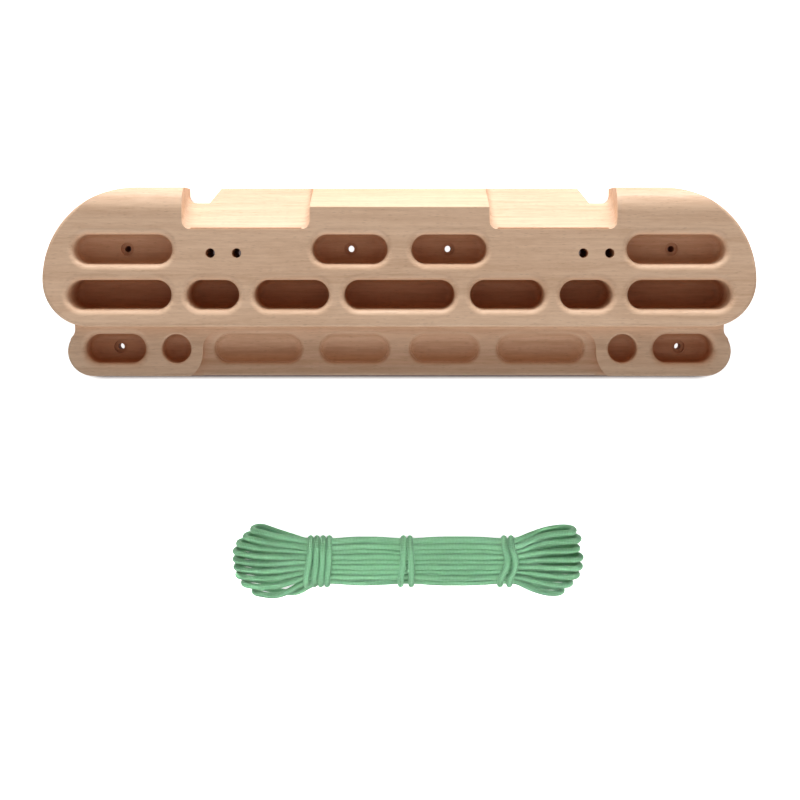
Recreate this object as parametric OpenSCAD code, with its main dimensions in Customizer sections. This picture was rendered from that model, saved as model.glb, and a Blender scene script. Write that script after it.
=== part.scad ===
// Wooden finger training board with a hank of hanging cord.
// The board lies on its back: X runs along its length, Y towards its top edge, Z out of its face.
// The origin is the middle of the board's back face. All sizes are in millimetres.

/* [Board] */
// Length of the board, end to end
board_w = 600; // [590:5:720]
// Height of the board, bottom edge to top edge
board_h = 160; // [158:1:192]
// Thickness of the board at its upper tier
board_t = 58; // [56:1:70]
// Thickness of the lower tier, which lies behind the upper one
lower_t = 43; // [38:1:44]
// Height of the step between the tiers, above the bottom edge
step_h = 43; // [42:1:44]
// Height of the widest point of the upper tier, above the bottom edge
waist_h = 81; // [76:1:97]
// Rounding of the outer edges of the face
edge_r = 3; // [1:0.5:5]
// Inset of the neck between the tiers, from the end of the board
neck_inset = 24; // [22:1:28]
// Radius of the foot at each end of the lower tier
foot_r = 21; // [18:1:22]
// Inset of the foot's centre, from the end of the board
foot_inset = 38; // [36:1:42]
// Height of the foot's blend into the neck, above the bottom edge
neck_blend_h = 39.9; // [39:0.1:42]
// Radius of the foot's blend into the neck
neck_blend_r = 8; // [7:0.5:9]

/* [Glued staves] */
// Thickness of the back ply
back_ply_t = 20; // [17:1:24]
// Glue lines of the back ply, above the bottom edge
back_joint_low = 48; // [47:1:54]
// Upper glue line of the back ply, above the bottom edge
back_joint_high = 89; // [86:1:94]
// Lower glue line of the middle ply, above the bottom edge
middle_joint_low = 54; // [47:1:56]
// Upper glue line of the middle ply, above the bottom edge
middle_joint_high = 92; // [86:1:94]
// Glue line of the front ply, above the bottom edge
front_joint = 89; // [86:1:94]

/* [Top holds] */
// Drop of the sloping holds, from the back top edge to the front face
sloper_drop = 35; // [28:1:37]
// Drop of the shallower middle strip, from the back top edge to the front face
strip_drop = 17; // [12:1:20]
// Width of the flat left along the back top edge
top_flat = 3; // [1:0.5:6]
// Half width of the middle strip
strip_half = 75; // [60:1:90]
// Width of the shoulder that stands at each end
shoulder_w = 118; // [110:1:120]
// Rounding of the sloping holds' front edge
sloper_edge_r = 6; // [3:0.5:9]
// Rounding where the sloping holds meet their walls
sloper_corner_r = 6; // [3:0.5:9]
// Rounding of the shoulder's front top edge
shoulder_r = 20; // [12:1:24]
// Depth of the notch in the back top edge beside each shoulder
notch_depth = 13; // [8:1:16]
// Width of the notch's flat floor
notch_floor = 13.5; // [8:0.5:16]
// Width of the notch's sloping side
notch_slope = 8; // [6:0.5:14]

/* [Finger pockets] */
// Height of every long pocket's mouth
pocket_h = 24.6; // [22:0.2:26]
// Rounding of the pockets' lips
lip_r = 5.5; // [3:0.5:5.5]
// Rounding where the pockets' walls meet their floors
floor_r = 6; // [3:0.5:8]
// Drop of the top row's middle line, from the top edge
top_row_drop = 52; // [51.5:0.5:54]
// Height of the middle row's middle line, above the step
middle_row_rise = 27; // [24:0.5:28]
// Height of the bottom row's middle line, above the bottom edge
bottom_row_h = 23.6; // [22:0.2:24.6]
// Width of the top row's outer pockets
top_outer_w = 82.5; // [70:0.5:86]
// Inset of the top row's outer pockets' middle, from the end of the board
top_outer_inset = 68; // [64:1:72]
// Depth of the top row's outer pockets
top_outer_depth = 26; // [20:1:32]
// Width of the top row's inner pockets
top_inner_w = 63; // [50:0.5:70]
// Distance of the top row's inner pockets' middle from the board's middle
top_inner_x = 41.6; // [39:0.2:46]
// Depth of the top row's inner pockets
top_inner_depth = 32; // [24:1:36]
// Depth of every pocket in the middle row
middle_depth = 45; // [36:1:48]
// Width of the middle row's centre pocket
middle_centre_w = 93; // [80:1:94]
// Wall left between the middle row's pockets
middle_wall = 13; // [12:0.5:14]
// Width of the middle row's second pockets
middle_second_w = 62.6; // [50:0.2:64]
// Width of the middle row's third pockets
middle_third_w = 44; // [40:0.5:45]
// Width of the middle row's outer pockets
middle_outer_w = 87; // [76:0.5:88]
// Inset of the middle row's outer pockets' middle, from the end of the board
middle_outer_inset = 64.5; // [62:0.5:66]
// Width of the bottom row's outer pockets
bottom_outer_w = 51; // [40:0.5:54]
// Inset of the bottom row's outer pockets' middle, from the end of the board
bottom_outer_inset = 58; // [56:0.5:60]
// Depth of the bottom row's outer pockets
bottom_outer_depth = 26; // [20:1:30]
// Inset of the round pockets' middle, from the end of the board
round_inset = 110; // [108:0.5:112]
// Depth of the round pockets
round_depth = 20; // [14:1:24]
// Rounding of the round pockets' lips
round_lip_r = 2; // [1:0.5:3]

/* [Shallow middle of the lower tier] */
// Half width of the recess between the two feet
recess_half = 167.5; // [160:0.5:168]
// Gap between the recess and the step
recess_gap = 2; // [1:0.5:3]
// Depth of the recess just under the step
recess_depth = 3; // [2:0.5:5]
// Depth of the recess at the bottom edge
recess_depth_low = 9; // [6:0.5:11]
// Radius of the recess's top corners
recess_corner_r = 17; // [12:1:18]
// Radius of the feet's inner bottom corners
foot_corner_r = 26; // [20:1:26]
// Share of that corner which the bottom edge cuts off
foot_corner_cut = 4; // [4:0.5:8]
// Width of the recess's outer pockets
shallow_outer_w = 74; // [60:1:76]
// Distance of the recess's outer pockets' middle from the board's middle
shallow_outer_x = 120.6; // [118:0.2:124]
// Width of the recess's inner pockets
shallow_inner_w = 58.6; // [50:0.2:60]
// Distance of the recess's inner pockets' middle from the board's middle
shallow_inner_x = 38.4; // [37:0.2:42]
// Depth of the recess's pockets, measured from the lower tier's face
shallow_depth = 17; // [14:0.5:19]
// Rounding of the shallow pockets' lips
shallow_lip_r = 3; // [2:0.5:4]
// Rounding of the shallow pockets' floors
shallow_floor_r = 8; // [6:0.5:9]

/* [Holes] */
// Diameter of the screw holes
screw_d = 5.5; // [4:0.1:6.5]
// Diameter of the screw heads' seats
screw_head_d = 11; // [8:0.5:13]
// Depth of the screw heads' seats
screw_head_depth = 3; // [1:0.5:5]
// Diameter of the four cord holes
cord_hole_d = 8; // [6:0.5:10]
// Drop of the cord holes, from the top edge
cord_hole_drop = 55.2; // [54:0.2:58]
// Middle of the left pair of cord holes, left of the board's middle
cord_left_x = 147.5; // [144:0.5:150]
// Middle of the right pair of cord holes, right of the board's middle
cord_right_x = 165; // [160:0.5:165]
// Distance between the two holes of a pair
cord_pair = 22; // [18:0.5:24]

/* [Cord hank] */
// Length of the hank
hank_l = 312; // [300:1:330]
// Width of the hank
hank_w = 68; // [62:1:76]
// Height of the hank
hank_t = 21; // [18:0.5:24]
// Radius of the hank's round ends
hank_end_r = 26; // [20:1:30]
// Gap between the hank and the board's bottom edge
hank_gap = 132; // [100:1:160]
// Offset of the hank along the board
hank_x = 6; // [-20:1:20]

/* [Hidden] */

$fn = 96;
over = 2;
edge_stop = 1;
notch_corner_step = 18;
end_x = board_w / 2;
base_y = -board_h / 2;
top_y = board_h / 2;
top_r = board_h - waist_h;
low_r = waist_h - step_h;
neck_top = waist_h - sqrt(pow(low_r, 2) - pow(low_r - neck_inset, 2));
waist_y = base_y + waist_h;
step_y = base_y + step_h;
pocket_r = pocket_h / 2;
sloper_angle = atan(sloper_drop / (board_t - top_flat));
strip_angle = atan(strip_drop / (board_t - top_flat));
shoulder_x = end_x - shoulder_w;
recess_angle = atan((recess_depth_low - recess_depth) / step_h);
recess_top = step_h - recess_gap;
top_row_y = top_y - top_row_drop;
middle_row_y = step_y + middle_row_rise;
bottom_row_y = base_y + bottom_row_h;
cord_y = top_y - cord_hole_drop;
middle_second_x = middle_centre_w / 2 + middle_wall + middle_second_w / 2;
middle_third_x = middle_second_x + middle_second_w / 2 + middle_wall + middle_third_w / 2;
beech = [0.85, 0.70, 0.55];
beech_warm = [0.82, 0.66, 0.50];
beech_pale = [0.88, 0.74, 0.60];
cord_green = [0.55, 0.80, 0.60];

// ---- Outlines, seen from the front ----

module upper_outline() {
    for (side = [-1, 1]) {
        intersection() {
            translate([side * (end_x - top_r), waist_y]) circle(top_r);
            translate([-end_x, waist_y]) square([board_w, top_r]);
        }
        intersection() {
            translate([side * (end_x - low_r), waist_y]) circle(low_r);
            translate([-end_x, step_y]) square([board_w, low_r]);
        }
    }
    translate([top_r - end_x, waist_y]) square([board_w - 2 * top_r, top_r]);
    translate([low_r - end_x, step_y]) square([board_w - 2 * low_r, low_r]);
}

// The blend fills the corner between the foot's circle and the neck.
module neck_blend(side) {
    blend_x = end_x - neck_inset + neck_blend_r;
    blend_y = base_y + neck_blend_h;
    difference() {
        polygon([[side * (end_x - foot_inset), base_y + foot_r],
                 [side * blend_x, blend_y],
                 [side * (blend_x - neck_blend_r), blend_y]]);
        translate([side * blend_x, blend_y]) circle(neck_blend_r);
    }
}

module lower_outline() {
    neck_x = end_x - neck_inset;
    foot_x = end_x - foot_inset;
    for (side = [-1, 1]) {
        translate([side * foot_x, base_y + foot_r]) circle(foot_r);
        neck_blend(side);
    }
    translate([-foot_x, base_y]) square([2 * foot_x, foot_r]);
    translate([-neck_x, base_y + foot_r]) square([2 * neck_x, neck_top - foot_r]);
}

module recess_outline() {
    corner_x = recess_half - recess_corner_r;
    corner_rise = foot_corner_r - foot_corner_cut;
    translate([-corner_x, 0]) square([2 * corner_x, recess_top]);
    translate([-recess_half, -over]) square([2 * recess_half, recess_top - recess_corner_r + over]);
    for (side = [-1, 1]) {
        translate([side * corner_x, recess_top - recess_corner_r]) circle(recess_corner_r);
        difference() {
            translate([side * recess_half, (corner_rise - over) / 2])
                square([foot_corner_r, corner_rise + over], center = true);
            translate([side * (recess_half + foot_corner_r), corner_rise]) circle(foot_corner_r);
        }
    }
}

// ---- Rounding cutters ----

// Sliver between a corner of the wood, which spans the angles from a to b, and a circle of radius r in it.
module corner_sliver(r, a, b) {
    half = (b - a) / 2;
    mid = (a + b) / 2;
    reach = r / tan(half);
    centre = [cos(mid), sin(mid)] * r / sin(half);
    difference() {
        polygon([[-cos(mid), -sin(mid)],
                 [cos(a), sin(a)] * reach + [sin(a), -cos(a)],
                 centre,
                 [cos(b), sin(b)] * reach + [-sin(b), cos(b)]]);
        translate(centre) circle(r);
    }
}

// Runs a profile drawn in Y and Z along X.
module along_x(x0, x1) {
    translate([x0, 0, 0]) rotate([90, 0, 90]) linear_extrude(x1 - x0) children();
}

// Rounds the outer edge of an arc of the outline. The cutter turns through sweep degrees from start.
module arc_edge(x, y, r, z, start, sweep) {
    translate([x, y, z]) rotate([0, 0, start]) rotate_extrude(angle = sweep)
        translate([r, 0]) corner_sliver(edge_r, 180, 270);
}

module upper_edges() {
    for (side = [-1, 1]) mirror([side < 0 ? 1 : 0, 0, 0]) {
        arc_edge(end_x - top_r, waist_y, top_r, board_t, 0, 90);
        arc_edge(end_x - low_r, waist_y, low_r, board_t, -90, 90);
    }
    along_x(low_r - end_x, end_x - low_r)
        translate([step_y, board_t]) corner_sliver(edge_r, 270, 360);
}

module lower_edges() {
    foot_x = end_x - foot_inset;
    for (side = [-1, 1])
        mirror([side < 0 ? 1 : 0, 0, 0])
            arc_edge(foot_x, base_y + foot_r, foot_r, lower_t, -90, 120);
    along_x(-foot_x, foot_x)
        translate([base_y, lower_t]) corner_sliver(edge_r, 270, 360);
    along_x(-recess_half, recess_half)
        translate([base_y, lower_t - recess_depth_low]) corner_sliver(edge_r, 270, 360 + recess_angle);
}

// ---- Cutters for the holds on top ----

// Slot whose floor meets its walls in rounded corners, seen along the slope.
module slot_profile(x0, x1, r0, r1) {
    tall = board_t;
    translate([x0, max(r0, r1)]) square([x1 - x0, tall]);
    translate([x0 + r0, 0]) square([x1 - x0 - r0 - r1, tall]);
    if (r0 > 0) translate([x0 + r0, r0]) circle(r0);
    if (r1 > 0) translate([x1 - r1, r1]) circle(r1);
}

// Lays a slot along a slope that falls from the back top edge to the face.
module slope_cut(drop, angle) {
    translate([0, top_y - drop, board_t]) rotate([angle, 0, 0])
        translate([0, 0, -2 * board_t]) linear_extrude(3 * board_t) children();
}

module top_cuts() {
    for (side = [-1, 1]) mirror([side < 0 ? 1 : 0, 0, 0]) {
        slope_cut(sloper_drop, sloper_angle)
            slot_profile(strip_half, shoulder_x, sloper_corner_r, sloper_corner_r);
        along_x(strip_half + sloper_corner_r + edge_stop, shoulder_x - sloper_corner_r - edge_stop)
            translate([top_y - sloper_drop, board_t])
                corner_sliver(sloper_edge_r, 180 - (90 - sloper_angle), 270);
        along_x(shoulder_x - over, end_x + over)
            translate([top_y, board_t]) corner_sliver(shoulder_r, 180, 270);
    }
    slope_cut(strip_drop, strip_angle)
        slot_profile(-strip_half, strip_half, 0, 0);
    along_x(-strip_half - over, strip_half + over)
        translate([top_y - strip_drop, board_t])
            corner_sliver(sloper_edge_r, 90 + strip_angle, 270);
}

// Notch through the back top edge, beside each shoulder.
module notches() {
    corner_x = shoulder_x - sloper_corner_r;
    floor_y = top_y - notch_depth;
    corner = [for (a = [0 : notch_corner_step : 90])
        [corner_x + sloper_corner_r * cos(a), floor_y + sloper_corner_r * (1 - sin(a))]];
    for (side = [-1, 1]) mirror([side < 0 ? 1 : 0, 0, 0])
        translate([0, 0, -over]) linear_extrude(board_t)
            polygon(concat([[shoulder_x, top_y + over]], corner,
                           [[corner_x - notch_floor, floor_y],
                            [corner_x - notch_floor - notch_slope, top_y],
                            [corner_x - notch_floor - notch_slope, top_y + over]]));
}

// ---- Cutters for pockets and holes ----

// Half of a pocket's section: r from its middle line, z up from the floor to the lip.
module pocket_half(r, depth, lip, bottom) {
    square([r - bottom, depth]);
    if (depth > bottom) translate([0, bottom]) square([r, depth - bottom]);
    translate([r - bottom, bottom]) intersection() {
        circle(bottom);
        translate([0, -bottom]) square([bottom, 2 * bottom]);
    }
    difference() {
        translate([0, depth - lip]) square([r + lip, lip + over]);
        translate([r + lip, depth - lip]) circle(lip);
    }
}

module pocket(x, y, face, w, depth, lip, bottom) {
    half_run = w / 2 - pocket_r;
    translate([x, y, face - depth]) {
        for (side = [-1, 1])
            translate([side * half_run, 0, 0])
                rotate_extrude() pocket_half(pocket_r, depth, lip, bottom);
        if (half_run > 0)
            along_x(-half_run, half_run) {
                pocket_half(pocket_r, depth, lip, bottom);
                mirror([1, 0]) pocket_half(pocket_r, depth, lip, bottom);
            }
    }
}

module pocket_pair(x, y, face, w, depth, lip = lip_r, bottom = floor_r) {
    for (side = [-1, 1]) pocket(side * x, y, face, w, depth, lip, bottom);
}

module upper_pockets() {
    pocket_pair(end_x - top_outer_inset, top_row_y, board_t, top_outer_w, top_outer_depth);
    pocket_pair(top_inner_x, top_row_y, board_t, top_inner_w, top_inner_depth);
    pocket(0, middle_row_y, board_t, middle_centre_w, middle_depth, lip_r, floor_r);
    pocket_pair(middle_second_x, middle_row_y, board_t, middle_second_w, middle_depth);
    pocket_pair(middle_third_x, middle_row_y, board_t, middle_third_w, middle_depth);
    pocket_pair(end_x - middle_outer_inset, middle_row_y, board_t, middle_outer_w, middle_depth);
}

module lower_pockets() {
    pocket_pair(end_x - bottom_outer_inset, bottom_row_y, lower_t, bottom_outer_w, bottom_outer_depth);
    pocket_pair(end_x - round_inset, bottom_row_y, lower_t, pocket_h, round_depth, round_lip_r);
}

// Recess between the feet. Its floor leans back towards the bottom edge, and its pockets lean with it.
module recess() {
    translate([0, base_y, lower_t - recess_depth_low]) rotate([recess_angle, 0, 0]) {
        linear_extrude(board_t) recess_outline();
        shallow = shallow_depth - recess_depth_low;
        pocket_pair(shallow_outer_x, bottom_row_h, 0, shallow_outer_w, shallow, shallow_lip_r,
                    min(shallow_floor_r, shallow));
        pocket_pair(shallow_inner_x, bottom_row_h, 0, shallow_inner_w, shallow, shallow_lip_r,
                    min(shallow_floor_r, shallow));
    }
}

module screw_pair(x, y, floor_z) {
    for (side = [-1, 1]) translate([side * x, y, 0]) {
        translate([0, 0, -over]) cylinder(d = screw_d, h = board_t + 2 * over);
        translate([0, 0, floor_z - screw_head_depth]) cylinder(d = screw_head_d, h = screw_head_depth + over);
    }
}

module screw_holes() {
    screw_pair(end_x - top_outer_inset, top_row_y, board_t - top_outer_depth);
    screw_pair(top_inner_x, top_row_y, board_t - top_inner_depth);
    screw_pair(end_x - bottom_outer_inset, bottom_row_y, lower_t - bottom_outer_depth);
}

module cord_holes() {
    for (middle = [-cord_left_x, cord_right_x], side = [-1, 1])
        translate([middle + side * cord_pair / 2, cord_y, -over])
            cylinder(d = cord_hole_d, h = board_t + 2 * over);
}

// ---- Board and its staves ----

module lower_body() {
    difference() {
        linear_extrude(lower_t) lower_outline();
        lower_edges();
        recess();
        lower_pockets();
    }
}

module upper_body() {
    difference() {
        linear_extrude(board_t) upper_outline();
        upper_edges();
        top_cuts();
        notches();
        upper_pockets();
        cord_holes();
    }
}

// One stave: the part of the board between two glue lines and two ply faces.
module stave(h0, h1, z0, z1) {
    difference() {
        intersection() {
            union() {
                if (h1 > step_h) upper_body();
                if (h0 < neck_top && z0 < lower_t) lower_body();
            }
            translate([-end_x - over, base_y + h0, z0]) cube([board_w + 2 * over, h1 - h0, z1 - z0]);
        }
        screw_holes();
    }
}

module back_stave_low() {
    color(beech) stave(0, back_joint_low, 0, back_ply_t);
}

module back_stave_mid() {
    color(beech_warm) stave(back_joint_low, back_joint_high, 0, back_ply_t);
}

module back_stave_high() {
    color(beech_pale) stave(back_joint_high, board_h, 0, back_ply_t);
}

module middle_stave_low() {
    color(beech_warm) stave(0, middle_joint_low, back_ply_t, lower_t);
}

module middle_stave_mid() {
    color(beech_pale) stave(middle_joint_low, middle_joint_high, back_ply_t, lower_t);
}

module middle_stave_high() {
    color(beech) stave(middle_joint_high, board_h, back_ply_t, lower_t);
}

module front_stave_low() {
    color(beech_pale) stave(step_h, front_joint, lower_t, board_t);
}

module front_stave_high() {
    color(beech) stave(front_joint, board_h, lower_t, board_t);
}

// ---- Cord ----

module cord_hank() {
    half_l = hank_l / 2 - hank_end_r;
    half_w = hank_w / 2 - hank_end_r;
    color(cord_green)
        translate([hank_x, base_y - hank_gap - hank_w / 2, 0])
            linear_extrude(hank_t) {
                for (sx = [-1, 1], sy = [-1, 1])
                    translate([sx * half_l, sy * half_w]) circle(hank_end_r);
                square([hank_l, 2 * half_w], center = true);
                square([2 * half_l, hank_w], center = true);
            }
}

back_stave_low();
back_stave_mid();
back_stave_high();
middle_stave_low();
middle_stave_mid();
middle_stave_high();
front_stave_low();
front_stave_high();
cord_hank();
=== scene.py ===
"""Beech finger training board with a bound hank of cord, lying on a pale studio floor."""

import logging
import math
from collections.abc import Sequence
from dataclasses import dataclass
from enum import Enum

import bpy
import numpy as np
from mathutils import Matrix, Vector


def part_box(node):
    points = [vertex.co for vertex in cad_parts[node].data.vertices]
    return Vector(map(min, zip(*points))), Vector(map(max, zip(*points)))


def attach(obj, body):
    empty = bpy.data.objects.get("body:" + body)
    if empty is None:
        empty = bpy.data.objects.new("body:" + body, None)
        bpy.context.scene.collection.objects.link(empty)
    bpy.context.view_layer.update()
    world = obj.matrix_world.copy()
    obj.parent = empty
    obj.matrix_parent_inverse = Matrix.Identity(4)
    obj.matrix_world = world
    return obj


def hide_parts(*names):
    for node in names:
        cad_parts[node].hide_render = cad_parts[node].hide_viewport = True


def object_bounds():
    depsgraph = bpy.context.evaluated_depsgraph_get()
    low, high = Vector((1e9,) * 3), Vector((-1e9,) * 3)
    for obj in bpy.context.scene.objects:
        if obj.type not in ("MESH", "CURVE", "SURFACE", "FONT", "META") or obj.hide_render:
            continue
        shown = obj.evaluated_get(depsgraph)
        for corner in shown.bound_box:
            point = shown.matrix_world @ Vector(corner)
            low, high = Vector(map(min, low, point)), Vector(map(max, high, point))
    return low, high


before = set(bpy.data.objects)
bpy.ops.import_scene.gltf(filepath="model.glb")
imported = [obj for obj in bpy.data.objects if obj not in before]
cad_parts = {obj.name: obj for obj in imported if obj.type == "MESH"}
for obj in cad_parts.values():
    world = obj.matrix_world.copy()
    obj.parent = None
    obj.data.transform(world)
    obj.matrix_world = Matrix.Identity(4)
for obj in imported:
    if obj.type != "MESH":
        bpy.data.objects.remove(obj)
CAD_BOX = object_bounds()
MM = 0.001
LOG = logging.getLogger("hangboard")

Point = tuple[float, float, float]
Colour = tuple[float, float, float]
Flat = tuple[float, float]
WHITE: Colour = (1.0, 1.0, 1.0)


class Body(Enum):
    """The moving bodies that new pieces ride on."""

    HANK = "hank"


class Slot(Enum):
    """The two finishes, by name."""

    BEECH = "beech"
    CORD = "cord"


# ---- Shader nodes ----


@dataclass(frozen=True)
class Noise:
    """One layer of noise, by its repeats along each axis for each unit of its place."""

    repeats: Point
    detail: float
    roughness: float


class Nodes:
    """A short way to add and join shader nodes in one tree."""

    def __init__(self, tree: bpy.types.NodeTree) -> None:
        """Keeps the tree.

        Args:
            tree: The node tree to build in.
        """
        self.tree = tree

    def add(self, kind: str, **settings: object) -> bpy.types.Node:
        """Adds a node.

        Args:
            kind: The node's type, such as ShaderNodeTexNoise.
            **settings: Properties of the node, or its inputs by name with _ for a space.

        Returns:
            The new node.
        """
        node = self.tree.nodes.new(kind)
        for name, value in settings.items():
            if hasattr(node, name):
                setattr(node, name, value)
            else:
                node.inputs[name.replace("_", " ")].default_value = value
        return node

    def join(self, source: bpy.types.NodeSocket, target: bpy.types.NodeSocket) -> None:
        """Links one socket to another."""
        self.tree.links.new(source, target)

    def maths(
        self, operation: str, first: bpy.types.NodeSocket, second: bpy.types.NodeSocket | float
    ) -> bpy.types.NodeSocket:
        """Adds a sum of one or two values.

        Args:
            operation: The Math node's operation.
            first: The first value.
            second: The second value, or a number.

        Returns:
            The socket that holds the result.
        """
        node = self.add("ShaderNodeMath", operation=operation)
        self.join(first, node.inputs[0])
        if isinstance(second, (int, float)):
            node.inputs[1].default_value = second
        else:
            self.join(second, node.inputs[1])
        return node.outputs[0]

    def stretched(self, vector: bpy.types.NodeSocket, repeats: Point) -> bpy.types.NodeSocket:
        """Scales a place so that a pattern repeats so often along each axis."""
        node = self.add("ShaderNodeVectorMath", operation="MULTIPLY")
        self.join(vector, node.inputs[0])
        node.inputs[1].default_value = repeats
        return node.outputs[0]

    def noise(self, vector: bpy.types.NodeSocket, noise: Noise) -> bpy.types.NodeSocket:
        """Adds one layer of noise and gives its strength, from 0 to 1."""
        node = self.add("ShaderNodeTexNoise", Scale=1.0, Detail=noise.detail, Roughness=noise.roughness)
        self.join(self.stretched(vector, noise.repeats), node.inputs["Vector"])
        return node.outputs["Fac"]

    def ranged(
        self,
        value: bpy.types.NodeSocket,
        from_low: float,
        from_high: float,
        low: float = 0.0,
        high: float = 1.0,
    ) -> bpy.types.NodeSocket:
        """Maps a value from one range to another, and holds it there.

        Args:
            value: The value.
            from_low: The value that becomes low. It may be the larger of the two.
            from_high: The value that becomes high.
            low: The result at from_low and past it.
            high: The result at from_high and past it.

        Returns:
            The socket that holds the result.
        """
        node = self.add("ShaderNodeMapRange")
        self.join(value, node.inputs["Value"])
        for name, number in zip(("From Min", "From Max", "To Min", "To Max"),
                                (from_low, from_high, low, high), strict=True):
            node.inputs[name].default_value = number
        return node.outputs["Result"]

    def blend(
        self,
        share: bpy.types.NodeSocket,
        first: bpy.types.NodeSocket | Colour,
        second: bpy.types.NodeSocket | Colour,
        kind: str = "MIX",
    ) -> bpy.types.NodeSocket:
        """Mixes two colours.

        Args:
            share: How much of the second colour shows.
            first: The first colour, or a socket that holds it.
            second: The second colour, or a socket that holds it.
            kind: How they are mixed.

        Returns:
            The socket that holds the mixed colour.
        """
        node = self.add("ShaderNodeMix", data_type="RGBA", blend_type=kind)
        self.join(share, node.inputs[0])
        for socket, colour in ((node.inputs[6], first), (node.inputs[7], second)):
            if isinstance(colour, tuple):
                socket.default_value = (*colour, 1.0)
            else:
                self.join(colour, socket)
        return node.outputs[2]


def new_group(
    name: str, inputs: Sequence[tuple[str, str]], outputs: Sequence[tuple[str, str]]
) -> Nodes:
    """Starts a shader node group.

    Args:
        name: The group's name.
        inputs: Name and socket type of each input.
        outputs: Name and socket type of each output.

    Returns:
        The builder for its tree, which holds nodes named "in" and "out".
    """
    tree = bpy.data.node_groups.new(name, "ShaderNodeTree")
    for sockets, side in ((inputs, "INPUT"), (outputs, "OUTPUT")):
        for label, kind in sockets:
            tree.interface.new_socket(name=label, in_out=side, socket_type=kind)
    build = Nodes(tree)
    build.add("NodeGroupInput", name="in")
    build.add("NodeGroupOutput", name="out")
    return build


# ---- Studio ----


@dataclass(frozen=True)
class Camera:
    """The camera, looking down on the board as it lies on its back."""

    foot: Point = (-1.0, 35.7, 1358.0)
    aim: Point = (0.4, -98.8, 58.0)
    lens: float = 69.6

    def build(self) -> bpy.types.Object:
        """Makes the camera, with the board's top edge towards the top of the frame.

        Returns:
            The camera object.
        """
        eye = Vector(self.foot) * MM
        look = (Vector(self.aim) * MM - eye).normalized()
        right = look.cross(Vector((0.0, 1.0, 0.0))).normalized()
        rise = right.cross(look)
        turn = Matrix((right, rise, -look)).transposed()
        data = bpy.data.cameras.new("studio_camera")
        data.lens = self.lens
        camera = bpy.data.objects.new("studio_camera", data)
        camera.matrix_world = Matrix.Translation(eye) @ turn.to_4x4()
        bpy.context.scene.collection.objects.link(camera)
        bpy.context.scene.camera = camera
        return camera


@dataclass(frozen=True)
class SoftBox:
    """One rectangular studio light."""

    name: str
    place: Point
    aim: Point
    size: Flat
    watts: float
    spread: float = 180.0

    def build(self) -> bpy.types.Object:
        """Makes the light and turns it to its aim.

        Returns:
            The light object.
        """
        data = bpy.data.lights.new(self.name, "AREA")
        data.shape = "RECTANGLE"
        data.size, data.size_y = self.size
        data.energy = self.watts
        data.spread = math.radians(self.spread)
        light = bpy.data.objects.new(self.name, data)
        light.location = self.place
        light.visible_camera = False
        look = Vector(self.aim) - Vector(self.place)
        light.rotation_euler = look.to_track_quat("-Z", "Y").to_euler()
        bpy.context.scene.collection.objects.link(light)
        return light


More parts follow.
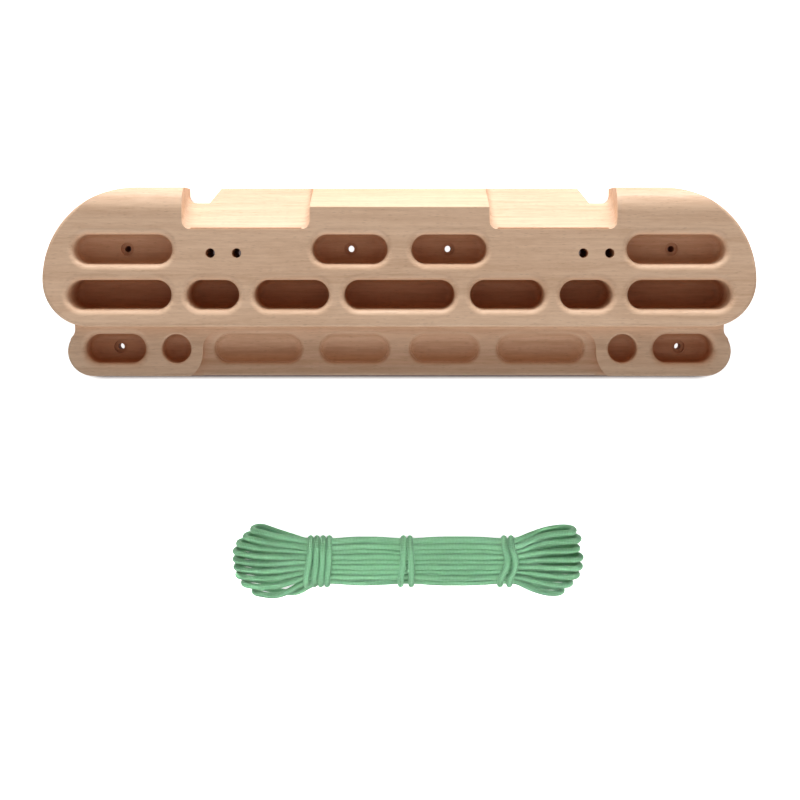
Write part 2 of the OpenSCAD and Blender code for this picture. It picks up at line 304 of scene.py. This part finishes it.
@dataclass(frozen=True)
class Studio:
    """The floor, the lights and the light that comes from all round.

    Places and lengths are in metres. The openness of a place is 1 with nothing near it, and each
    pair of it says where the shade begins and where it is full.
    """

    floor_half: float = 40.0
    floor_drop: float = 0.05 * MM
    floor_colour: Colour = (0.86, 0.86, 0.86)
    floor_roughness: float = 0.9
    floor_glow: float = 1.0
    floor_bounce: float = 0.25
    shadow: Colour = (0.07, 0.045, 0.043)
    shadow_reach: float = 0.008
    strip: Flat = (-0.120, -0.079)
    strip_fades: Flat = (0.02, 0.002)
    strip_openness: Flat = (0.985, 0.78)
    under_from: Flat = (0.09, 0.0)
    under_fade: float = 0.01
    under_openness: Flat = (0.48, 0.30)
    sky_light: float = 0.06
    sky_shown: float = 1.0
    boxes: tuple[SoftBox, ...] = (
        SoftBox("top_light", (0.0, 2.0, 0.25), (0.0, 0.0, 0.04), (2.6, 0.30), 55.0),
        SoftBox("high_light", (0.0, 1.6, 1.0), (0.0, 0.0, 0.04), (2.4, 0.60), 10.5),
        SoftBox("table_bounce", (0.0, -0.10, 0.48), (0.0, 1.0, 0.48), (1.6, 0.80), 3.1),
        SoftBox("low_light", (0.0, -1.7, 0.66), (0.0, -0.05, 0.04), (2.6, 0.50), 6.6),
        SoftBox("cord_light", (0.0, -0.25, 1.10), (0.0, -0.25, 0.0), (0.50, 0.06), 0.20, 14.0),
    )

    def build(self) -> None:
        """Makes the floor, the sky and the lights."""
        self._floor()
        world = bpy.data.worlds.new("studio_sky")
        world.use_nodes = True
        made = Nodes(world.node_tree)
        ray = made.add("ShaderNodeLightPath").outputs["Is Camera Ray"]
        strength = made.ranged(ray, 0.0, 1.0, self.sky_light, self.sky_shown)
        ground = world.node_tree.nodes["Background"]
        ground.inputs["Color"].default_value = (*WHITE, 1.0)
        made.join(strength, ground.inputs["Strength"])
        bpy.context.scene.world = world
        bpy.context.scene.view_settings.view_transform = "Standard"
        for box in self.boxes:
            box.build()

    def _floor(self) -> None:
        """Makes the pale floor that the board and the hank lie on."""
        half = self.floor_half
        low = CAD_BOX[0].z - self.floor_drop
        mesh = bpy.data.meshes.new("floor")
        ring = [(-half, -half, low), (half, -half, low), (half, half, low), (-half, half, low)]
        mesh.from_pydata(ring, [], [(0, 1, 2, 3)])
        mesh.materials.append(self._floor_finish())
        floor = bpy.data.objects.new("floor", mesh)
        bpy.context.scene.collection.objects.link(floor)

    def _floor_finish(self) -> bpy.types.Material:
        """Makes the floor's paper, which looks evenly bright but lights the board only a little.

        Returns:
            The material.
        """
        material = bpy.data.materials.new("floor_paper")
        material.use_nodes = True
        shader = material.node_tree.nodes["Principled BSDF"]
        shader.inputs["Roughness"].default_value = self.floor_roughness
        made = Nodes(material.node_tree)
        shade = self._floor_shade(made)
        made.join(made.blend(shade, self.floor_colour, self.shadow), shader.inputs["Base Color"])
        made.join(made.blend(shade, WHITE, self.shadow), shader.inputs["Emission Color"])
        ray = made.add("ShaderNodeLightPath").outputs["Is Camera Ray"]
        made.join(made.ranged(ray, 0.0, 1.0, self.floor_bounce, self.floor_glow),
                  shader.inputs["Emission Strength"])
        return material

    def _floor_shade(self, made: Nodes) -> bpy.types.NodeSocket:
        """Finds the floor that lies in the board's shade.

        That is a thin strip along the board's bottom edge, on the side away from the main light,
        and the floor right under the board's upper ends, which shows through the holes there.

        Args:
            made: The floor material's nodes.

        Returns:
            The socket that is 1 in full shade and 0 in the open.
        """
        place = made.add("ShaderNodeSeparateXYZ")
        made.join(made.add("ShaderNodeNewGeometry").outputs["Position"], place.inputs[0])
        touch = made.add("ShaderNodeAmbientOcclusion", samples=16, Distance=self.shadow_reach)
        openness = touch.outputs["AO"]
        far, near = self.strip
        far_fade, near_fade = self.strip_fades
        band = made.maths("MULTIPLY", made.ranged(place.outputs["Y"], near, near - near_fade),
                          made.ranged(place.outputs["Y"], far, far + far_fade))
        strip = made.maths("MULTIPLY", band, made.ranged(openness, *self.strip_openness))
        from_x, from_y = self.under_from
        under = made.maths("MULTIPLY", made.ranged(openness, *self.under_openness),
                           made.ranged(place.outputs["Y"], from_y, from_y + self.under_fade))
        aside = made.maths("ABSOLUTE", place.outputs["X"], 0.0)
        outer = made.ranged(aside, from_x, from_x + self.under_fade)
        return made.maths("MAXIMUM", strip, made.maths("MULTIPLY", under, outer))


# ---- Finishes ----


@dataclass(frozen=True)
class BeechGrain:
    """The grain of beech, as a solid pattern that runs along X. Lengths are in metres."""

    drift_repeats: Point = (3.0, 9.0, 9.0)
    drift_reach: Point = (0.0, 0.012, 0.012)
    tone: Noise = Noise((1.6, 26.0, 30.0), 3.0, 0.55)
    band: Noise = Noise((5.0, 170.0, 170.0), 3.0, 0.6)
    fine: Noise = Noise((60.0, 520.0, 520.0), 5.0, 0.72)
    fleck_repeats: Point = (150.0, 820.0, 420.0)
    fleck_radii: Flat = (0.12, 0.34)
    fleck_choice: Flat = (0.42, 0.50)
    fleck_sunk: float = 0.6

    def build(self) -> bpy.types.NodeTree:
        """Builds the node group.

        Returns:
            The group. Place is in metres. Tone is the slow change of colour, Streak the fine grain,
            Fleck the short dark ray flecks, and Height the relief of grain and flecks.
        """
        number, vector = "NodeSocketFloat", "NodeSocketVector"
        made = new_group("beech_grain", [("Place", vector)],
                         [(label, number) for label in ("Tone", "Streak", "Fleck", "Height")])
        bent = self._bent(made, made.tree.nodes["in"].outputs["Place"])
        tone, band, fine = (made.noise(bent, noise) for noise in (self.tone, self.band, self.fine))
        streak = made.maths("ADD", made.maths("MULTIPLY", band, 0.5), made.maths("MULTIPLY", fine, 0.5))
        fleck = self._flecks(made, bent)
        height = made.maths("SUBTRACT", fine, made.maths("MULTIPLY", fleck, self.fleck_sunk))
        end = made.tree.nodes["out"]
        for label, socket in (("Tone", tone), ("Streak", streak), ("Fleck", fleck), ("Height", height)):
            made.join(socket, end.inputs[label])
        return made.tree

    def _bent(self, made: Nodes, place: bpy.types.NodeSocket) -> bpy.types.NodeSocket:
        """Lets the grain wander slowly to the side as it runs along the board."""
        drift = made.add("ShaderNodeTexNoise", Scale=1.0, Detail=1.0)
        made.join(made.stretched(place, self.drift_repeats), drift.inputs["Vector"])
        shift = made.add("ShaderNodeVectorMath", operation="MULTIPLY_ADD")
        made.join(drift.outputs["Color"], shift.inputs[0])
        shift.inputs[1].default_value = self.drift_reach
        made.join(place, shift.inputs[2])
        return shift.outputs[0]

    def _flecks(self, made: Nodes, place: bpy.types.NodeSocket) -> bpy.types.NodeSocket:
        """Adds the short dark flecks, in some of the cells of a stretched pattern."""
        cells = made.add("ShaderNodeTexVoronoi", Scale=1.0, Randomness=1.0)
        made.join(made.stretched(place, self.fleck_repeats), cells.inputs["Vector"])
        spot = made.ranged(cells.outputs["Distance"], *self.fleck_radii, 1.0, 0.0)
        split = made.add("ShaderNodeSeparateColor")
        made.join(cells.outputs["Color"], split.inputs[0])
        chosen = made.ranged(split.outputs[0], *self.fleck_choice, 1.0, 0.0)
        return made.maths("MULTIPLY", spot, chosen)


@dataclass(frozen=True)
class PaintedPocketShade:
    """Painted shade: the deeper the wood lies in the pockets and the recess, the darker and redder.

    Places and lengths are in metres on the board. Each fade says where along Y it begins, where it
    ends, and how strong the painted shade is past its end; together they make it stronger on the
    lower tier towards the board's bottom edge, and weaker again right at that edge.
    """

    depth: Flat = (0.0445, 0.020)
    half_x: float = 0.281
    half_x_low: float = 0.270
    narrowing: Flat = (-0.045, -0.035)
    middle_y: float = -0.0172
    half_y: float = 0.0622
    edge: float = 0.003
    fades: tuple[Point, ...] = ((-0.036, -0.046, 0.85), (-0.050, -0.068, 1.9), (-0.069, -0.072, 0.55))

    def build(self, made: Nodes, place: bpy.types.NodeSocket) -> bpy.types.NodeSocket:
        """Adds the nodes that find the painted shade.

        Args:
            made: The material's nodes.
            place: The place on the board.

        Returns:
            The socket of the painted shade, 0 on the face and the outer sides, and about 1 deep in the
            pockets.
        """
        split = made.add("ShaderNodeSeparateXYZ")
        made.join(place, split.inputs[0])
        x, y, z = split.outputs
        limit = made.ranged(y, *self.narrowing, self.half_x_low, self.half_x)
        past = made.maths("SUBTRACT", made.maths("ABSOLUTE", x, 0.0), limit)
        across = made.maths("ABSOLUTE", made.maths("SUBTRACT", y, self.middle_y), 0.0)
        held = made.maths("MULTIPLY", made.ranged(past, 0.0, -self.edge),
                          made.ranged(across, self.half_y, self.half_y - self.edge))
        shade = made.maths("MULTIPLY", made.ranged(z, *self.depth), held)
        for begin, end, strength in self.fades:
            shade = made.maths("MULTIPLY", shade, made.ranged(y, begin, end, 1.0, strength))
        return shade


@dataclass(frozen=True)
class BeechFinish:
    """Bare sanded beech, with painted shade that makes it darker and redder deep in the pockets.

    Offset moves the grain, so that each stave has its own.
    """

    name: str
    offset: Point
    pale: Colour = (0.900, 0.622, 0.425)
    deep: Colour = (0.690, 0.430, 0.266)
    fleck: Colour = (0.400, 0.215, 0.120)
    fleck_share: float = 0.28
    painted_shade_colour: Colour = (0.775, 0.525, 0.375)
    tone_range: Flat = (0.34, 0.66)
    tone_share: float = 0.35
    streak_range: Flat = (0.40, 0.60)
    streak_share: float = 0.65
    roughness: Flat = (0.52, 0.68)
    relief: float = 0.06
    relief_strength: float = 0.5
    specular: float = 0.65

    def build(self, grain: bpy.types.NodeTree) -> bpy.types.Material:
        """Makes the material.

        Args:
            grain: The grain group.

        Returns:
            The material.
        """
        material = bpy.data.materials.new(self.name)
        material.use_nodes = True
        made = Nodes(material.node_tree)
        shader = material.node_tree.nodes["Principled BSDF"]
        place = made.add("ShaderNodeTexCoord").outputs["Object"]
        moved = made.add("ShaderNodeVectorMath", operation="ADD")
        made.join(place, moved.inputs[0])
        moved.inputs[1].default_value = self.offset
        group = made.add("ShaderNodeGroup", node_tree=grain)
        made.join(moved.outputs[0], group.inputs["Place"])
        tone = made.ranged(group.outputs["Tone"], *self.tone_range)
        streak = made.ranged(group.outputs["Streak"], *self.streak_range)
        share = made.maths("ADD", made.maths("MULTIPLY", tone, self.tone_share),
                           made.maths("MULTIPLY", streak, self.streak_share))
        wood = made.blend(share, self.deep, self.pale)
        mark = made.maths("MULTIPLY", group.outputs["Fleck"], self.fleck_share)
        marked = made.blend(mark, wood, self.fleck)
        # Painted shade: the wood is multiplied darker and redder the deeper it lies in the pockets and the
        # recess.
        painted_shade_mask = PaintedPocketShade().build(made, place)
        made.join(made.blend(painted_shade_mask, marked, self.painted_shade_colour, "MULTIPLY"), shader.inputs["Base Color"])
        smooth, rough = self.roughness
        made.join(made.ranged(streak, 0.0, 1.0, rough, smooth), shader.inputs["Roughness"])
        bump = made.add("ShaderNodeBump", Strength=self.relief_strength, Distance=self.relief * MM)
        made.join(group.outputs["Height"], bump.inputs["Height"])
        made.join(bump.outputs["Normal"], shader.inputs["Normal"])
        shader.inputs["Specular IOR Level"].default_value = self.specular
        return material


@dataclass(frozen=True)
class CordBraid:
    """The braid of a round cord: its repeats along one diameter of length, and round the cord."""

    along: float = 2.2
    around: float = 6.0

    def build(self) -> bpy.types.NodeTree:
        """Builds the node group, from the cord's length (U, in diameters) and its turn (V).

        Returns:
            The group. Strand is high on the crown of each strand, and serves as the relief too.
        """
        made = new_group("cord_braid", [("Place", "NodeSocketVector")], [("Strand", "NodeSocketFloat")])
        split = made.add("ShaderNodeSeparateXYZ")
        made.join(made.tree.nodes["in"].outputs["Place"], split.inputs[0])
        along = made.maths("MULTIPLY", split.outputs["X"], 2.0 * math.pi * self.along)
        around = made.maths("MULTIPLY", split.outputs["Y"], 2.0 * math.pi * self.around)
        left = made.maths("SINE", made.maths("ADD", along, around), 0.0)
        right = made.maths("SINE", made.maths("SUBTRACT", along, around), 0.0)
        strand = made.ranged(made.maths("MULTIPLY", left, right), -1.0, 1.0)
        made.join(strand, made.tree.nodes["out"].inputs["Strand"])
        return made.tree


@dataclass(frozen=True)
class CordFinish:
    """Light green braided nylon, with painted shade in its braid's grooves and darker fibres."""

    name: str = "green_braid"
    crown: Colour = (0.262, 0.562, 0.322)
    painted_groove_shade_and_dark_fibre: Colour = (0.130, 0.375, 0.175)
    strand_share: float = 0.7
    fibre_share: float = 0.45
    fibres: Noise = Noise((9.0, 9.0, 9.0), 4.0, 0.7)
    tone_range: Flat = (0.15, 0.85)
    relief: float = 0.12
    relief_strength: float = 0.6
    roughness: float = 0.62
    sheen: float = 0.12
    sheen_roughness: float = 0.5

    def build(self, braid: bpy.types.NodeTree) -> bpy.types.Material:
        """Makes the material.

        Args:
            braid: The braid group.

        Returns:
            The material.
        """
        material = bpy.data.materials.new(self.name)
        material.use_nodes = True
        made = Nodes(material.node_tree)
        shader = material.node_tree.nodes["Principled BSDF"]
        place = made.add("ShaderNodeUVMap", uv_map="lay").outputs["UV"]
        group = made.add("ShaderNodeGroup", node_tree=braid)
        made.join(place, group.inputs["Place"])
        strand = group.outputs["Strand"]
        fibres = made.noise(place, self.fibres)
        # The braid's grooves get painted shade, and the fibre noise adds a random darker tone.
        lively = made.maths("ADD", made.maths("MULTIPLY", strand, self.strand_share),
                            made.maths("MULTIPLY", fibres, self.fibre_share))
        share = made.ranged(lively, *self.tone_range)
        made.join(made.blend(share, self.painted_groove_shade_and_dark_fibre, self.crown), shader.inputs["Base Color"])
        bump = made.add("ShaderNodeBump", Strength=self.relief_strength, Distance=self.relief * MM)
        made.join(strand, bump.inputs["Height"])
        made.join(bump.outputs["Normal"], shader.inputs["Normal"])
        shader.inputs["Roughness"].default_value = self.roughness
        shader.inputs["Sheen Weight"].default_value = self.sheen
        shader.inputs["Sheen Roughness"].default_value = self.sheen_roughness
        return material


# ---- Board ----


@dataclass(frozen=True)
class Board:
    """The board, glued up from staves, each cut from its own piece of beech."""

    staves: tuple[str, ...] = (
        "back_stave_low", "back_stave_mid", "back_stave_high",
        "middle_stave_low", "middle_stave_mid", "middle_stave_high",
        "front_stave_low", "front_stave_high",
    )
    grain_step: Point = (0.37, 0.113, 0.071)

    def build(self) -> None:
        """Gives each stave its own stretch of grain."""
        grain = BeechGrain().build()
        along, across, down = self.grain_step
        for index, name in enumerate(self.staves):
            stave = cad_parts[name]
            finish = BeechFinish(f"beech_{name}", (along * index, across * index, down * index))
            self._dress(stave, finish.build(grain))
            LOG.info("stave %s", name)

    def _dress(self, stave: bpy.types.Object, material: bpy.types.Material) -> None:
        """Puts the material on a stave.

        Args:
            stave: The stave.
            material: Its finish.
        """
        stave.data.materials.clear()
        stave.data.materials.append(material)


# ---- Cord ----


@dataclass(frozen=True)
class Binding:
    """One group of binding turns.

    Turns says where each turn crosses the top, leans how far its near side lies to the left of its
    far side, and bulge how far its middle bows to the right.
    """

    turns: tuple[float, ...]
    leans: tuple[float, ...]
    bulge: float


@dataclass(frozen=True)
class CordHank:
    """One length of cord, folded back and forth and bound with its own end.

    All sizes are in millimetres from the middle of the hank, where the floor is at z 0, but the
    length is in metres and is not used.
    """

    diameter: float = 5.4
    length: float = 6.3
    columns: int = 9
    pitch: float = 4.75
    tight_pitch: float = 4.35
    low_layer: float = 7.8
    high_layer: float = 12.5
    stagger: float = 0.9
    fold_r: float = 8.1
    fold_lean: float = 1.1
    hook: float = 4.5
    hook_from: float = 14.0
    left_tips: tuple[Flat, ...] = (
        (-136.0, 29.0), (-142.5, 22.5), (-148.5, 16.5), (-151.5, 9.5), (-151.5, 2.5),
        (-151.0, -4.5), (-149.5, -11.5), (-144.5, -19.0), (-135.0, -26.5),
    )
    right_tips: tuple[Flat, ...] = (
        (148.5, 28.0), (153.0, 20.5), (152.0, 12.0), (155.0, 4.0),
        (154.5, -4.0), (152.0, -11.5), (146.0, -19.0), (138.5, -26.0),
    )
    right: Binding = Binding((92.6, 86.4), (1.4, 3.4), 4.6)
    middle: Binding = Binding((3.2, -2.4), (-1.2, 2.6), 0.8)
    left: Binding = Binding((-68.0, -73.6, -79.1, -84.6), (2.0, 2.0, 2.2, 4.0), 0.8)
    bound_reach: float = 16.0
    settling: float = 34.0
    loose_end: float = 60.0
    start_past: float = 2.0
    end_past: float = 8.0
    dive: tuple[Point, ...] = (
        (14.0, -15.5, 3.0), (18.5, -11.0, 1.0), (19.5, -4.0, 0.0),
        (16.0, 2.5, 0.0), (9.0, 6.5, 0.0), (2.0, 9.0, 0.0),
    )
    leaving: tuple[Flat, ...] = ((-3.0, -9.0), (-14.0, -3.0))
    arriving: tuple[Flat, ...] = ((14.0, 0.0), (3.0, 7.0))
    tuck: Flat = (-6.0, 4.0)
    slack: float = 8.5
    slack_at: float = -94.0
    slack_reach: float = 13.0
    aside: float = -1.3
    turn_half: float = 21.3
    turn_top: float = 18.4
    step: float = 2.4
    run_points: int = 48
    fold_points: int = 11
    corner_points: int = 9
    passes: int = 2
    sides: int = 12

    def build(self) -> bpy.types.Object:
        """Returns:
            The cord.
        """
        low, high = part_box("cord_hank")
        middle = np.array([(low.x + high.x) / 2, (low.y + high.y) / 2 + self.aside * MM, low.z])
        route = self._evened(self._smoothed(np.array(self._route())), self.step)
        path = route * MM + middle
        cord = self._tube("green_cord", path)
        cord.data.materials.append(CordFinish().build(CordBraid().build()))
        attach(cord, Body.HANK.value)
        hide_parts("cord_hank")
        real = float(np.linalg.norm(np.diff(path, axis=0), axis=1).sum())
        LOG.info("cord %.2f m long in %d rings", real, len(path))
        return cord

    def _near(self, x: float) -> float:
        """Says how tightly the bundle is bound at a place, from 0 to 1."""
        turns = self.left.turns + self.middle.turns + self.right.turns
        away = min(abs(x - turn) for turn in turns)
        return math.exp(-((away / self.bound_reach) ** 2))

    def _lateral(self, x: float, column: int, left: Flat, right: Flat) -> float:
        """Works out how far a strand lies to the side.

        Args:
            x: The place along the hank.
            column: The strand's column in the bundle.
            left: Where its left fold begins, along the hank and to the side.
            right: The same at the right end.

        Returns:
            The distance from the hank's middle line.
        """
        near = self._near(x)
        pitch = self.tight_pitch * near + self.pitch * (1 - near)
        straight = ((self.columns - 1) / 2 - column) * pitch
        fan_left = self.left.turns[-1] - self.diameter
        fan_right = self.right.turns[0] + self.diameter
        if x < fan_left:
            share = math.sin(min(1.0, (fan_left - x) / (fan_left - left[0])) * math.pi / 2)
            hook_start = fan_left - self.hook_from
            bent = max(0.0, (hook_start - x) / (hook_start - left[0])) ** 2
            return straight + (left[1] - self.hook - straight) * share + self.hook * bent
        if x > fan_right:
            share = min(1.0, (x - fan_right) / (right[0] - fan_right))
            return straight + (right[1] - straight) * math.sin(share * math.pi / 2)
        return straight

    def _height(self, x: float, column: int, upper: bool, ends: Flat) -> float:
        """Works out how high a strand lies.

        Args:
            x: The place along the hank.
            column: The strand's column.
            upper: Whether it runs in the upper layer.
            ends: Where its folds begin, left and right.

        Returns:
            The height of its middle line above the floor.
        """
        layer = self.high_layer if upper else self.low_layer
        level = layer + (self.stagger if column % 2 else -self.stagger)
        open_level = self.diameter / 2 + (2 * self.fold_r if upper else 0.0)
        away = min(x - ends[0], ends[1] - x)
        share = min(1.0, max(0.0, away / self.settling))
        ease = share * share * (3 - 2 * share)
        return open_level + (level - open_level) * ease

    def _run(self, column: int, upper: bool, right: int | None, stop: float = 0.0) -> list[Point]:
        """Lays one strand from the left fold to the right one.

        Args:
            column: The strand's column, which is also the index of its fold at the left end.
            upper: Whether it runs in the upper layer.
            right: The index of its fold at the right end, or None where it stops short.
            stop: Where it stops, if it has no right fold.

        Returns:
            The points, left to right.
        """
        tip_left = self.left_tips[column]
        x0 = tip_left[0] + self.fold_r
        tip_right = self.right_tips[right] if right is not None else (stop, 0.0)
        x1 = tip_right[0] - self.fold_r if right is not None else stop
        end = x1 if right is not None else x1 + self.loose_end
        lean = -self.fold_lean if upper else self.fold_lean
        points = []
        for x in np.linspace(x0, x1, self.run_points):
            y = self._lateral(float(x), column, (x0, tip_left[1] + lean), (end, tip_right[1] + lean))
            points.append((float(x), y, self._height(x, column, upper, (x0, end))))
        return points

    def _fold(self, tip: Flat, upwards: bool) -> list[Point]:
        """Turns the cord at an end of the hank.

        Args:
            tip: How far the cord's middle line reaches, and where it lies to the side.
            upwards: Whether it turns from the lower layer to the upper one.

        Returns:
            The points of the half circle.
        """
        side = 1.0 if tip[0] > 0 else -1.0
        centre_x = tip[0] - side * self.fold_r
        centre_z = self.diameter / 2 + self.fold_r
        points = []
        for angle in np.linspace(-math.pi / 2, math.pi / 2, self.fold_points)[1:-1]:
            lift = angle if upwards else -angle
            points.append((centre_x + side * self.fold_r * math.cos(angle),
                           tip[1] - self.fold_lean * math.sin(lift),
                           centre_z + self.fold_r * math.sin(lift)))
        return points

    def _over(self, x: float, lean: float, bulge: float) -> list[Point]:
        """Lays a binding turn up the far side, over the top and down the near side.

        Args:
            x: Where the turn crosses the top.
            lean: How far its near side lies to the left of its far side.
            bulge: How far its middle bows to the right.

        Returns:
            The points.
        """
        low = self.diameter / 2
        radius = (self.turn_top - low) / 2
        flat = self.turn_half - radius
        corner = [(flat + radius * math.cos(angle), low + radius + radius * math.sin(angle))
                  for angle in np.linspace(-math.pi / 2, math.pi / 2, self.corner_points)]
        top = [(x - lean * share + bulge * math.sin(share * math.pi), flat * (1 - 2 * share), self.turn_top)
               for share in (0.2, 0.4, 0.6, 0.8)]
        far_side = [(x, y, z) for y, z in corner]
        near_side = [(x - lean, -y, z) for y, z in corner[::-1]]
        return far_side + top + near_side

    def _under(self, from_x: float, to_x: float) -> list[Point]:
        """Lays a binding turn back under the bundle, from its near side to its far side."""
        low = self.diameter / 2
        flat = self.turn_half - (self.turn_top - low) / 2
        return [(from_x + (to_x - from_x) * share, flat * (2 * share - 1), low)
                for share in (0.25, 0.5, 0.75)]

    def _route(self) -> list[Point]:
        """Lays the whole cord: the runs and folds, then the turns that bind them.

        Returns:
            The points of its middle line, from its hidden start to its tucked end.
        """
        return self._bundle() + self._bound()

    def _bundle(self) -> list[Point]:
        """Lays the runs and the folds between them.

        Returns:
            The points, from the hidden start to where the cord leaves the bundle to bind it.
        """
        start = self.right.turns[-1] + self.start_past
        end = self.right.turns[0] + self.end_past
        route: list[Point] = []
        for column in range(self.columns):
            before = column - 1 if column > 0 else None
            route += self._run(column, True, before, start)[::-1]
            route += self._fold(self.left_tips[column], False)
            if column < self.columns - 1:
                route += self._run(column, False, column)
                route += self._fold(self.right_tips[column], True)
            else:
                route += self._slack(self._run(column, False, None, end))
        return route

    def _bound(self) -> list[Point]:
        """Lays the turns that bind the bundle, from its right end to its left one.

        Returns:
            The points, from where the cord dives under the bundle to its tucked end.
        """
        low = self.diameter / 2
        groups = (self.right, self.middle, self.left)
        route = [(self.right.turns[0] + ahead, aside, low + lift) for ahead, aside, lift in self.dive]
        for group, following in zip(groups, (*groups[1:], None), strict=True):
            for turn, after, lean in zip(group.turns, group.turns[1:], group.leans, strict=False):
                route += self._over(turn, lean, group.bulge)
                route += self._under(turn - lean, after)
            last, lean = group.turns[-1], group.leans[-1]
            route += self._over(last, lean, group.bulge)
            if following is None:
                route += [(last - lean, aside, low) for aside in self.tuck]
            else:
                route += [(last - lean + ahead, aside, low) for ahead, aside in self.leaving]
                route += [(following.turns[0] + ahead, aside, low) for ahead, aside in self.arriving]
        return route

    def _slack(self, run: list[Point]) -> list[Point]:
        """Lets the last lower strand bow out beside the left end of the bundle."""
        bowed = []
        for x, y, z in run:
            share = math.exp(-(((x - self.slack_at) / self.slack_reach) ** 2))
            bowed.append((x, y - self.slack * share, z * (1 - share) + self.diameter / 2 * share))
        return bowed

    def _smoothed(self, points: np.ndarray) -> np.ndarray:
        """Rounds a route off.

        Args:
            points: The route's points.

        Returns:
            A dense line through softened corners.
        """
        line = self._evened(points, self.step)
        for _ in range(self.passes):
            line[1:-1] = (line[:-2] + 2 * line[1:-1] + line[2:]) / 4
        return line

    @staticmethod
    def _evened(line: np.ndarray, step: float) -> np.ndarray:
        """Spaces a line's points evenly, about a step apart."""
        gaps = np.linalg.norm(np.diff(line, axis=0), axis=1)
        along = np.concatenate([[0.0], np.cumsum(gaps)])
        at = np.linspace(0.0, along[-1], int(along[-1] / step) + 2)
        return np.stack([np.interp(at, along, line[:, k]) for k in range(3)], axis=1)

    def _tube(self, name: str, path: np.ndarray) -> bpy.types.Object:
        """Sweeps a round tube along a path, with its length and turn as UV.

        Args:
            name: The piece's name.
            path: The points of its middle line, in metres.

        Returns:
            The tube.
        """
        faces = self._faces(len(path))
        mesh = bpy.data.meshes.new(name)
        mesh.from_pydata(self._points(path).tolist(), [], faces)
        mesh.polygons.foreach_set("use_smooth", [True] * len(faces))
        self._unroll(mesh, path)
        mesh.update()
        cord = bpy.data.objects.new(name, mesh)
        bpy.context.scene.collection.objects.link(cord)
        return cord

    def _points(self, path: np.ndarray) -> np.ndarray:
        """Places the tube's rings, which don't twist along the path, and then its two end points."""
        radius = self.diameter * MM / 2
        turns = np.arange(self.sides) * 2 * math.pi / self.sides
        ahead = np.gradient(path, axis=0)
        ahead /= np.linalg.norm(ahead, axis=1)[:, None]
        side = np.cross(ahead[0], (0.0, 0.0, 1.0))
        rings = []
        for place, way in zip(path, ahead, strict=True):
            side = side - way * side.dot(way)
            side /= np.linalg.norm(side)
            across = np.cross(way, side)
            rings.append(place + radius * (np.outer(np.cos(turns), side) + np.outer(np.sin(turns), across)))
        return np.concatenate([*rings, path[:1], path[-1:]])

    def _faces(self, count: int) -> list[tuple[int, ...]]:
        """Joins that many rings into a closed tube, with a fan of faces on each end."""
        sides = self.sides
        start, end, last = count * sides, count * sides + 1, (count - 1) * sides
        faces: list[tuple[int, ...]] = []
        for ring in range(count - 1):
            for k in range(sides):
                a, b = ring * sides + k, ring * sides + (k + 1) % sides
                faces.append((a, a + sides, b + sides, b))
        faces += [(start, k, (k + 1) % sides) for k in range(sides)]
        faces += [(end, last + (k + 1) % sides, last + k) for k in range(sides)]
        return faces

    def _unroll(self, mesh: bpy.types.Mesh, path: np.ndarray) -> None:
        """Gives the tube its UV: the length in diameters along U, and one turn along V."""
        sides, start = self.sides, len(path) * self.sides
        gaps = np.linalg.norm(np.diff(path, axis=0), axis=1)
        along = np.concatenate([[0.0], np.cumsum(gaps)]) / (self.diameter * MM)
        layer = mesh.uv_layers.new(name="lay")
        for face in mesh.polygons:
            corners = list(face.vertices)
            for loop, vertex in zip(face.loop_indices, corners, strict=True):
                ring, k = divmod(min(vertex, start - 1), sides)
                wraps = k == 0 and any(v % sides == sides - 1 for v in corners if v < start)
                layer.data[loop].uv = (along[ring], 1.0 if wraps else k / sides)


def main() -> None:
    """Builds the scene: camera and cord first, then the board and the studio."""
    logging.basicConfig(level=logging.INFO, format="%(name)s: %(message)s")
    Camera().build()
    CordHank().build()
    Board().build()
    Studio().build()


if __name__ == "__main__":
    main()
